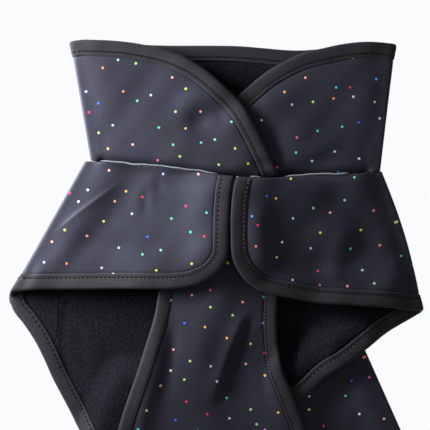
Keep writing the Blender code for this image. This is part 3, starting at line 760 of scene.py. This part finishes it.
def piece(name, verts, faces, uvs, materials, slots=None, sharp=None):
    """A mesh that rides on the coat, its points in millimetres. The table presses its underside flat."""
    verts = np.column_stack([verts[:, :2], np.maximum(verts[:, 2], 0.0)])
    mesh = bpy.data.meshes.new(name)
    mesh.from_pydata(((verts + SETTLE) * 0.001).tolist(), [], faces)
    layer = mesh.uv_layers.new(name="UVMap")
    loops = np.zeros(len(mesh.loops), int)
    mesh.loops.foreach_get("vertex_index", loops)
    layer.data.foreach_set("uv", (uvs[loops] * 0.001).ravel())
    for material in materials:
        mesh.materials.append(material)
    if slots is not None:
        mesh.polygons.foreach_set("material_index", slots)
    smoothed = np.ones(len(faces), bool)
    if sharp is not None:
        smoothed[sharp] = False
    mesh.polygons.foreach_set("use_smooth", smoothed)
    mesh.update()
    ob = put(name, mesh)
    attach(ob, "root")
    return ob


def facing_out(verts, tris):
    a, b, c = (verts[tris[:, k]] for k in (0, 1, 2))
    return tris if (a * np.cross(b, c)).sum() > 0 else tris[:, ::-1]


def cloth_points(sheet, ring, edges, seams):
    """Points and lines of a cut's mesh, finer beside its tape and seams."""
    closed = np.vstack([ring, ring[:1]])
    pts, lines = [ring], [(i, (i + 1) % len(ring)) for i in range(len(ring))]
    count = len(ring)

    def row(line, apart, joined=True):
        nonlocal count
        ok = inside(line, ring) & (distance(line, closed) > apart)
        where = np.nonzero(ok)[0]
        if joined:
            follow = np.nonzero(np.diff(where) == 1)[0]
            lines.extend((count + int(k), count + int(k) + 1) for k in follow)
        pts.append(line[ok])
        count += int(ok.sum())

    taken = [edge.line[::4] for edge in edges]

    def off_tapes(line):
        free = np.ones(len(line), bool)
        for edge, near in zip(edges, taken):
            free &= distance(line, near) > edge.width + TAPE_CLEAR
        return free

    for edge in edges:
        for d in TAPE_ROWS:
            row(edge.at(edge.width + d), 0.25)
    for seam in seams:
        for d in SEAM_ROWS:
            line = shift(even(seam, 1.6), d)
            row(line[off_tapes(line)], 0.2, False)
    for f in sheet.folds:
        for k in range(TURN_STEPS + 1):
            line = f.line(math.pi * f.radius * k / TURN_STEPS)
            free = off_tapes(line)
            for seam in seams:
                free &= distance(line, seam[::3]) > SEAM_CLEAR
            row(line[free], 0.5, False)
    low, high = ring.min(axis=0), ring.max(axis=0)
    columns, rows = np.arange(low[0], high[0], GRID), np.arange(low[1], high[1], GRID * 0.87)
    grid = np.array([(x + (k % 2) * GRID / 2, y) for k, y in enumerate(rows) for x in columns])
    grid = grid[inside(grid, ring) & ~turning(sheet.folds, grid)]
    grid = grid[distance(grid, closed[:: max(1, len(closed) // 400)]) > GRID * 0.5]
    for edge, near in zip(edges, taken):
        d = distance(grid, near)
        grid = grid[(d > edge.width + 3.4) | (d < edge.width - 2)]
    row(grid, 0.4, False)
    return np.vstack(pts), lines


def panel(name, sheet, ring, edges, seams, start, **lies):
    """A closed wall of cloth over an outline of the flat cut, print on one face and fleece on the other.

    Each seam comes with the share of the cloth's thickness that is left at it. start moves the pattern.
    """
    pts, lines = cloth_points(sheet, ring, edges, [seam for seam, low in seams])
    out = delaunay_2d_cdt([Vector(p) for p in pts.tolist()], lines, [], 0, 0.005)
    flat = np.array([tuple(v) for v in out[0]])
    tris = np.array([t for t in out[2] if len(t) == 3])
    tris = tris[inside(flat[tris].mean(axis=1), ring)]
    used, tris = np.unique(tris, return_inverse=True)
    flat, tris = flat[used], tris.reshape(-1, 3)
    half = np.full(len(flat), HALF)
    for edge in edges:
        half -= DIP * bell((distance(flat, edge.line[::2]) - edge.width - DIP_PAST) / DIP_WIDE)
    for seam, low in seams:
        x = np.clip(distance(flat, seam[::2]) / RIM, 0, 1)
        half = np.minimum(half, HALF * (low + (1 - low) * np.sqrt(1 - (1 - x) ** 2)))
    verts = np.vstack([sheet.place(flat, half), sheet.place(flat, -half)])
    n, t = len(flat), len(tris)
    sides = {(a[k], a[(k + 1) % 3]) for a in tris.tolist() for k in range(3)}
    faces = tris.tolist() + (tris[:, ::-1] + n).tolist()
    for a, b in sorted(e for e in sides if e[::-1] not in sides):
        faces += [(b, a, a + n), (b, a + n, b + n)]
    faces = facing_out(verts, np.array(faces)).tolist()
    slots = np.zeros(len(faces), np.int32)
    slots[t : 2 * t] = 1
    uvs = np.tile(flat + 1000 * start, (2, 1))
    ob = piece(name, verts, faces, uvs, (PRINT, FLEECE), slots, slice(2 * t, None))
    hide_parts(name.replace("_cloth", ""))


def tape_section(edge):
    """Closed section of folded tape. Columns: d in from the fold, w from mid cloth."""
    width, stitch = edge.width, edge.stitch
    over_fold = [0.02, 0.15, 0.45, 0.9, 1.5, 2.4, 3.8, 5.4, 7.0]
    at_stitches = [stitch + k for k in (-1.3, -0.6, -0.25, 0, 0.25, 0.6)]
    at_lip = [width - k for k in (0.5, 0.2, 0.05, 0)]
    d = np.unique(np.round(over_fold + at_stitches + at_lip, 3))

    def face(lip):
        shoulder = np.sqrt(1 - (1 - np.clip(d / 2, 0, 1)) ** 2)
        crown = CROWN * np.sin(math.pi * np.clip(d / stitch, 0, 1))
        w = (BOUND - THINNER * smooth(d / width)) * shoulder + crown
        w += lip * bell((d - width + 0.7) / 0.5) - GROOVE * bell((d - stitch) / 0.5)
        low = HALF + 0.15
        roll = np.sqrt(1 - (1 - np.clip((width - d) / ROLLED, 0, 1)) ** 2)
        return np.where(d > width - ROLLED, low + (w - low) * roll, w)

    gap = HALF + SEAM * 0.4
    top, under = face(0.0), face(LIP)
    inner = [(width - 0.1, gap), (TAPE, gap), (TAPE, 0), (TAPE, -gap), (width - 0.1, -gap)]
    outer = list(zip(d[::-1], top[::-1])) + [(0.0, 0.0)] + list(zip(d, -under))
    return np.array(outer + inner[::-1])


def binding(name, sheet, edge, stitch=2.7, pitch=STITCH_PITCH, **lies):
    """Tape folded over an edge and sewn along it."""
    edge.stitch = edge.width - stitch
    section = tape_section(edge)
    m, n = len(section), len(edge.points)
    verts = np.stack([sheet.place(edge.at(d), w) for d, w in section], axis=1).reshape(-1, 3)
    i, k = np.meshgrid(np.arange(n - 1), np.arange(m), indexing="ij")
    a, b = (i * m + k).ravel(), (i * m + (k + 1) % m).ravel()
    quads = np.column_stack([a, b, b + m, a + m])
    tris = np.vstack([quads[:, [0, 1, 2]], quads[:, [0, 2, 3]]])
    flip = facing_out(verts, tris)[0, 0] != tris[0, 0]
    faces = (quads[:, ::-1] if flip else quads).tolist()
    ends = [tuple(range(m)), tuple(range((n - 1) * m, n * m))[::-1]]
    faces += [end if flip else end[::-1] for end in ends]
    girth = lengths(section)
    uvs = np.column_stack([np.repeat(edge.run, m), np.tile(girth, n)])
    ob = piece(name + "_tape", verts, faces, uvs, (BINDING,), None, slice(len(quads), None))
    sewn = stitches(name + "_stitches", sheet, edge, pitch)
    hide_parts(name)


def tube_faces(rows, sides, base=0):
    """Faces of a closed tube over rows of points that go round it."""
    faces = []
    for start in range(base, base + (rows - 1) * sides, sides):
        for k in range(sides):
            a, b = start + k, start + (k + 1) % sides
            faces.append((a, b, b + sides, a + sides))
    last = base + (rows - 1) * sides
    return faces + [tuple(range(base, base + sides))[::-1], tuple(range(last, last + sides))]


def stitches(name, sheet, edge, pitch):
    """A row of thread on each face of the tape."""
    long = STITCH_SHARE * pitch
    starts = np.arange(2.0, edge.run[-1] - long - 1, pitch)
    stations = [(0.0, 0.25), (0.2, 1.0), (0.8, 1.0), (1.0, 0.25)]  # share of the length, of the radius
    sides = 5
    aside = 0.3  # to find the ways across and up
    rings = []
    for face in (1, -1):
        turn = 2 * math.pi * face / sides
        for share, size in stations:
            s = starts + share * long
            flat, side = edge.spot(s, edge.stitch), edge.spot(s, edge.stitch + aside)
            level = BOUND - THINNER + 0.05 - THREAD_SUNK * (size < 1)
            mid, over = sheet.place(flat, face * level), sheet.place(flat, face * (level + aside))
            x, y = unit(sheet.place(side, face * level) - mid), unit(over - mid)
            spokes = [math.cos(turn * k) * x + math.sin(turn * k) * y for k in range(sides)]
            rings.append(np.stack([mid + THREAD * size * spoke for spoke in spokes], axis=1))
    rows = len(stations)
    grid = np.concatenate([np.stack(rings[:rows], axis=1), np.stack(rings[rows:], axis=1)])
    verts, faces = grid.reshape(-1, 3), []
    for one in range(len(grid)):
        faces += tube_faces(rows, sides, one * rows * sides)
    ob = piece(name, verts, faces, verts[:, :2], (BLACK,))
    return ob


def piping(name, field, x0, x1):
    """A thin silver edge that stands out of the neck seam, a little wavy and thinner at its ends."""
    line = spline(NECK_FRONT, 0.8)
    line = line[(line[:, 0] >= x0) & (line[:, 0] <= x1)]
    s = lengths(line)
    ends = smooth(s / 4) * smooth((s[-1] - s) / 4)
    kinks = np.arange(0, s[-1] + KINK, KINK)
    wander = np.interp(s, kinks, 0.4 * np.sin(2.3 * np.arange(len(kinks)) + x0)) + 0.12 * np.sin(s / 2.3)
    line = line + (PIPING_OUT + wander)[:, None] * normals(line)
    n, sides = normals(line), 8
    wide, tall = PIPING_WIDE * (0.35 + 0.65 * ends), PIPING_TALL * (0.4 + 0.6 * ends)
    base = sample(field, line) + HALF + REST + PIPING_TALL + 0.15 * np.sin(s / 4.3)
    rings = []
    for k in range(sides):
        t = 2 * math.pi * k / sides
        rings.append(np.column_stack([line + (wide * math.cos(t))[:, None] * n, base + tall * math.sin(t)]))
    verts = np.stack(rings, axis=1).reshape(-1, 3)
    ob = piece("piping_" + name + "_edge", verts, tube_faces(len(line), sides), verts[:, :2], (SILVER,))
    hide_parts("piping_" + name)


def lying(fold, line):
    """The part of a cut's edge that lies on the front, where it lies."""
    return fold.flat(line[fold.past(line) > math.pi * fold.radius / 2])


def puffed(support, folds, back, reach=14.0):
    """Support that holds a front layer off the back beside its fold."""
    for f in folds:
        lift = back + 2 * f.radius - REST - HALF
        support = np.maximum(support, f.near(reach) * lift)
    return support


def rear_body():
    """The back lies on the table and its wings on that."""
    rl, rr = (Fold(row, REAR_TURN) for row in REAR_FOLDS)
    hem = spline(np.vstack([rl.flat(WING_LEFT_HEM[::-1]), TAIL[::-1], rr.flat(WING_RIGHT_HEM[::-1])]))
    hem_edge = Edge((rl, rr), hem)
    top_right = spline(np.vstack([rr.flat(WING_RIGHT_TOP[::-1]), REAR_TOP_RIGHT]), STEP)
    top_left = spline(np.vstack([REAR_TOP_LEFT, rl.flat(WING_LEFT_TOP[::-1])]), STEP)
    ring = loop(hem_edge.at(EDGE), top_right, top_left)
    flat_hem = hem[(rl.past(hem) <= 0) & (rr.past(hem) <= 0)]
    back = half = bound_half([flat_hem])
    wing_half = bound_half([lying(rl, hem), lying(rr, hem)])
    outline = np.vstack([flat_hem, REAR_TOP_RIGHT, REAR_TOP_LEFT])
    support = cover(np.zeros(MAP), back, half, outline)
    wings = lay(puffed(support, (rl, rr), back), wing_half)
    rl.front = rr.front = wings
    sheet = Sheet(back, (rl, rr))
    sewn = [(top_right, 0.1), (top_left, 0.1)]
    panel("rear_body_cloth", sheet, ring, [hem_edge], sewn, start=0.9, held="folded")
    binding("rear_binding", sheet, hem_edge, held="folded", rests_on=["rear_body_cloth"])
    for fold in (rl, rr):
        support = cover(support, wings, wing_half, lying(fold, loop(hem, top_right, top_left)))
    return support


def bib(support):
    """The belly piece, on the yoke and the wings."""
    top = shift(spline(BIB_TOP), -SEAM)
    edge = Edge((), spline(BIB_LEFT + BIB_RIGHT), BIB_TAPE_WIDTH, [shift(top, -SEAM)] * 2)
    half = bound_half([edge.line], BIB_TAPE_WIDTH)
    mid = lay(taut(support, 0.8 * TAUT), half) + relief(NODES, BIB_FOLDS).reshape(MAP)
    mid = np.maximum(mid, lay(support, half) - REST / 2)
    sheet = Sheet(mid, face=1.0)
    top = even(top, STEP)
    ring = ring_of(edge.inset(), top[::-1])
    sewn = [(top, 0.1)]
    panel("bib_cloth", sheet, ring, [edge], sewn, start=0.3, held="laid", rests_on=["back_panel_cloth"])
    binding("bib_binding", sheet, edge, 0.8, FINE_PITCH, held="folded", rests_on=["bib_cloth"])
    return cover(support, mid, half, edge.line)


def upper_body(support):
    """Yoke and flaps, one wrap with a fold at each side, and the bib between them."""
    bl = Fold(BODY_FOLDS[0], BODY_TURN, droop=BODY_DROOP)
    br = Fold(BODY_FOLDS[1], BODY_TURN, RIGHT_FOLD_BOW, BODY_DROOP)
    folds = (bl, br)
    left = spline(np.vstack([bl.flat(LEFT_FRONT), LEFT_BACK]))
    right = spline(np.vstack([RIGHT_BACK[::-1], br.flat(RIGHT_FRONT[::-1])]))
    neck_l = [(30, -2.2)] + [p for p in NECK_FRONT if p[0] < 20][::-1]
    neck_r = [p for p in NECK_FRONT if p[0] > 0][::-1]
    rim_l, rim_r = bl.rim(BODY_NECK[0]), br.rim(BODY_NECK[1])
    neck = spline(np.vstack([bl.flat(neck_l), rim_l, NECK_BACK, rim_r, br.flat(neck_r)]))
    seam_l, seam_r, bridge = spline(LEFT_SEAM), spline(RIGHT_SEAM), spline(BRIDGE)
    inner_neck, inner_bridge = shift(neck, -2 * SEAM), shift(bridge, 2 * SEAM)
    left_edge = Edge(folds, left, ends=(inner_neck, inner_bridge), seams=[seam_l])
    right_edge = Edge(folds, right, ends=(inner_bridge, inner_neck), seams=[seam_r])
    hems = [left[bl.past(left) <= 0], right[br.past(right) <= 0]]
    half = bound_half(hems)
    back = lay(support, half)
    support = bib(cover(support, back, half, np.vstack([*hems, NECK_BACK[::-1]])))
    flap_half = bound_half([lying(bl, left), lying(br, right)])
    bl.front, br.front = (lay(taut(puffed(support, folds, back), fall), flap_half) for fall in (TAUT, STEEP))
    bl.soft = br.soft = FLAP_FOLDS
    sheet = Sheet(back, folds, soft=BACK_FOLDS, seam=spline(NECK_FRONT, 4.0), proud=FLAP_PROUD)
    top = even(neck, STEP)[::-1]
    side_l, side_r, foot = (even(line, STEP) for line in (seam_l, seam_r, shift(bridge, SEAM / 2)))
    ring = ring_of(left_edge.inset(), side_l[::-1], top)
    sewn = [(top, 0.1), (side_l, 0.5), (bl.flat(spline(CREASE)), 1.0)]
    panel("left_flap_cloth", sheet, ring, [left_edge], sewn, start=0.15, held="folded")
    ring = ring_of(right_edge.inset(), top, side_r)
    sewn = [(top, 0.1), (side_r, 0.5)]
    panel("right_flap_cloth", sheet, ring, [right_edge], sewn, start=1.2, held="folded")
    ring = ring_of(side_l, left_edge.inset(), foot, right_edge.inset(), side_r[::-1], top)
    sewn = [(top, 0.1), (side_l, 0.5), (side_r, 0.5), (foot, 0.1)]
    panel("back_panel_cloth", sheet, ring, [left_edge, right_edge], sewn, start=0.5, held="laid")
    binding("left_binding", sheet, left_edge, held="folded", rests_on=["left_flap_cloth"])
    binding("right_binding", sheet, right_edge, held="folded", rests_on=["right_flap_cloth"])


def collar():
    """One cut round the neck, its right wing under the left one."""
    cl, cr = (Fold(row, COLLAR_TURN) for row in COLLAR_FOLDS)
    folds = (cl, cr)
    cl.soft, cr.soft = LEFT_WING_FOLDS, RIGHT_WING_FOLDS
    brim = spline(np.vstack([cr.flat(COLLAR_RIGHT[::-1]), COLLAR_BACK[::-1], cl.flat(COLLAR_LEFT)]))
    base_l = [(64, -1.2)] + [p for p in NECK_FRONT if p[0] < 50][::-1]
    base_r = NECK_FRONT[1:][::-1]
    rim_l, rim_r = cl.rim(COLLAR_NECK[0]), cr.rim(COLLAR_NECK[1])
    base = spline(np.vstack([cl.flat(base_l), rim_l, NECK_BACK, rim_r, cr.flat(base_r)]))
    edge = Edge(folds, brim, ends=[shift(base, 2 * SEAM)] * 2)
    foot = even(base, STEP)
    ring = ring_of(edge.inset(), foot)
    back = half = bound_half([brim[(cl.past(brim) <= 0) & (cr.past(brim) <= 0)]])
    support = cover(np.zeros(MAP), back, half, np.vstack([COLLAR_BACK, NECK_BACK[::-1]]))
    right_half, left_half = bound_half([lying(cr, brim)]), bound_half([lying(cl, brim)])
    cr.front = lay(taut(puffed(support, folds, back), 0.4 * TAUT), right_half)
    support = cover(support, cr.front, right_half, lying(cr, ring))
    cl.front = lay(taut(puffed(support, folds, back), 0.4 * TAUT), left_half)
    sheet = Sheet(back, folds, seam=spline(NECK_FRONT, 4.0), proud=COLLAR_SUNK)
    panel("collar_cloth", sheet, ring, [edge], [(foot, 0.1)], start=0.7, held="folded")
    binding("collar_binding", sheet, edge, 3.0, FINE_PITCH, held="folded", rests_on=["collar_cloth"])
    for name, x0, x1 in PIPING:
        piping(name, cr.front if x0 > 50 else cl.front, x0, x1)


# ---- scene


VIEW_CENTRE = (-0.0045, 0.1202)  # the middle of the photograph's frame
VIEW_WIDTH = 0.3311  # of the frame, at the height of the flaps
VIEW_HEIGHT = 0.008
CAMERA_HEIGHT = 1.2
WINDOW_PLACE = (-0.34, 0.25, 0.095)
WINDOW_TARGET = (0.0, 0.12, 0.0)
WINDOW_SIZE = (0.32, 0.07)
FLOOR = 6.0  # half of its side
FLOOR_LEVEL = -0.0005
FLOOR_COLOUR = (250, 251, 253)  # sRGB


def camera():
    data = bpy.data.cameras.new("camera")
    data.lens = data.sensor_width * (CAMERA_HEIGHT - VIEW_HEIGHT) / VIEW_WIDTH
    data.clip_end = 20.0
    ob = put("camera", data)
    ob.location = (*VIEW_CENTRE, CAMERA_HEIGHT)
    bpy.context.scene.camera = ob


def window():
    """A low window, up and to the left of the coat."""
    data = bpy.data.lights.new("window", "AREA")
    data.shape, data.size, data.size_y = "RECTANGLE", *WINDOW_SIZE
    data.energy, data.color = 5.5, (0.92, 0.96, 1.0)
    ob = put("window", data)
    ob.location = WINDOW_PLACE
    ob.rotation_euler = (Vector(WINDOW_TARGET) - Vector(WINDOW_PLACE)).to_track_quat("-Z", "Y").to_euler()


def floor():
    mesh = bpy.data.meshes.new("floor")
    corners = [(-FLOOR, -FLOOR), (FLOOR, -FLOOR), (FLOOR, FLOOR), (-FLOOR, FLOOR)]
    mesh.from_pydata([(x, y, FLOOR_LEVEL) for x, y in corners], [], [(0, 1, 2, 3)])
    material = bpy.data.materials.new("floor")
    material.use_nodes = True
    nodes = material.node_tree.nodes
    nodes.clear()
    glow, out = nodes.new("ShaderNodeEmission"), nodes.new("ShaderNodeOutputMaterial")
    glow.inputs["Color"].default_value = linear(FLOOR_COLOUR)
    material.node_tree.links.new(glow.outputs[0], out.inputs["Surface"])
    mesh.materials.append(material)
    put("floor", mesh)


def light():
    scene = bpy.context.scene
    scene.view_settings.view_transform = "Standard"
    world = bpy.data.worlds.new("world")
    scene.world = world
    world.use_nodes = True
    sky = world.node_tree.nodes["Background"]
    sky.inputs["Color"].default_value = (1.0, 0.94, 0.97, 1)
    sky.inputs["Strength"].default_value = 0.40
    world.cycles_visibility.glossy = False  # an even fill that leaves the sheen to the window
    window()


upper_body(rear_body())
collar()
camera()
floor()
light()
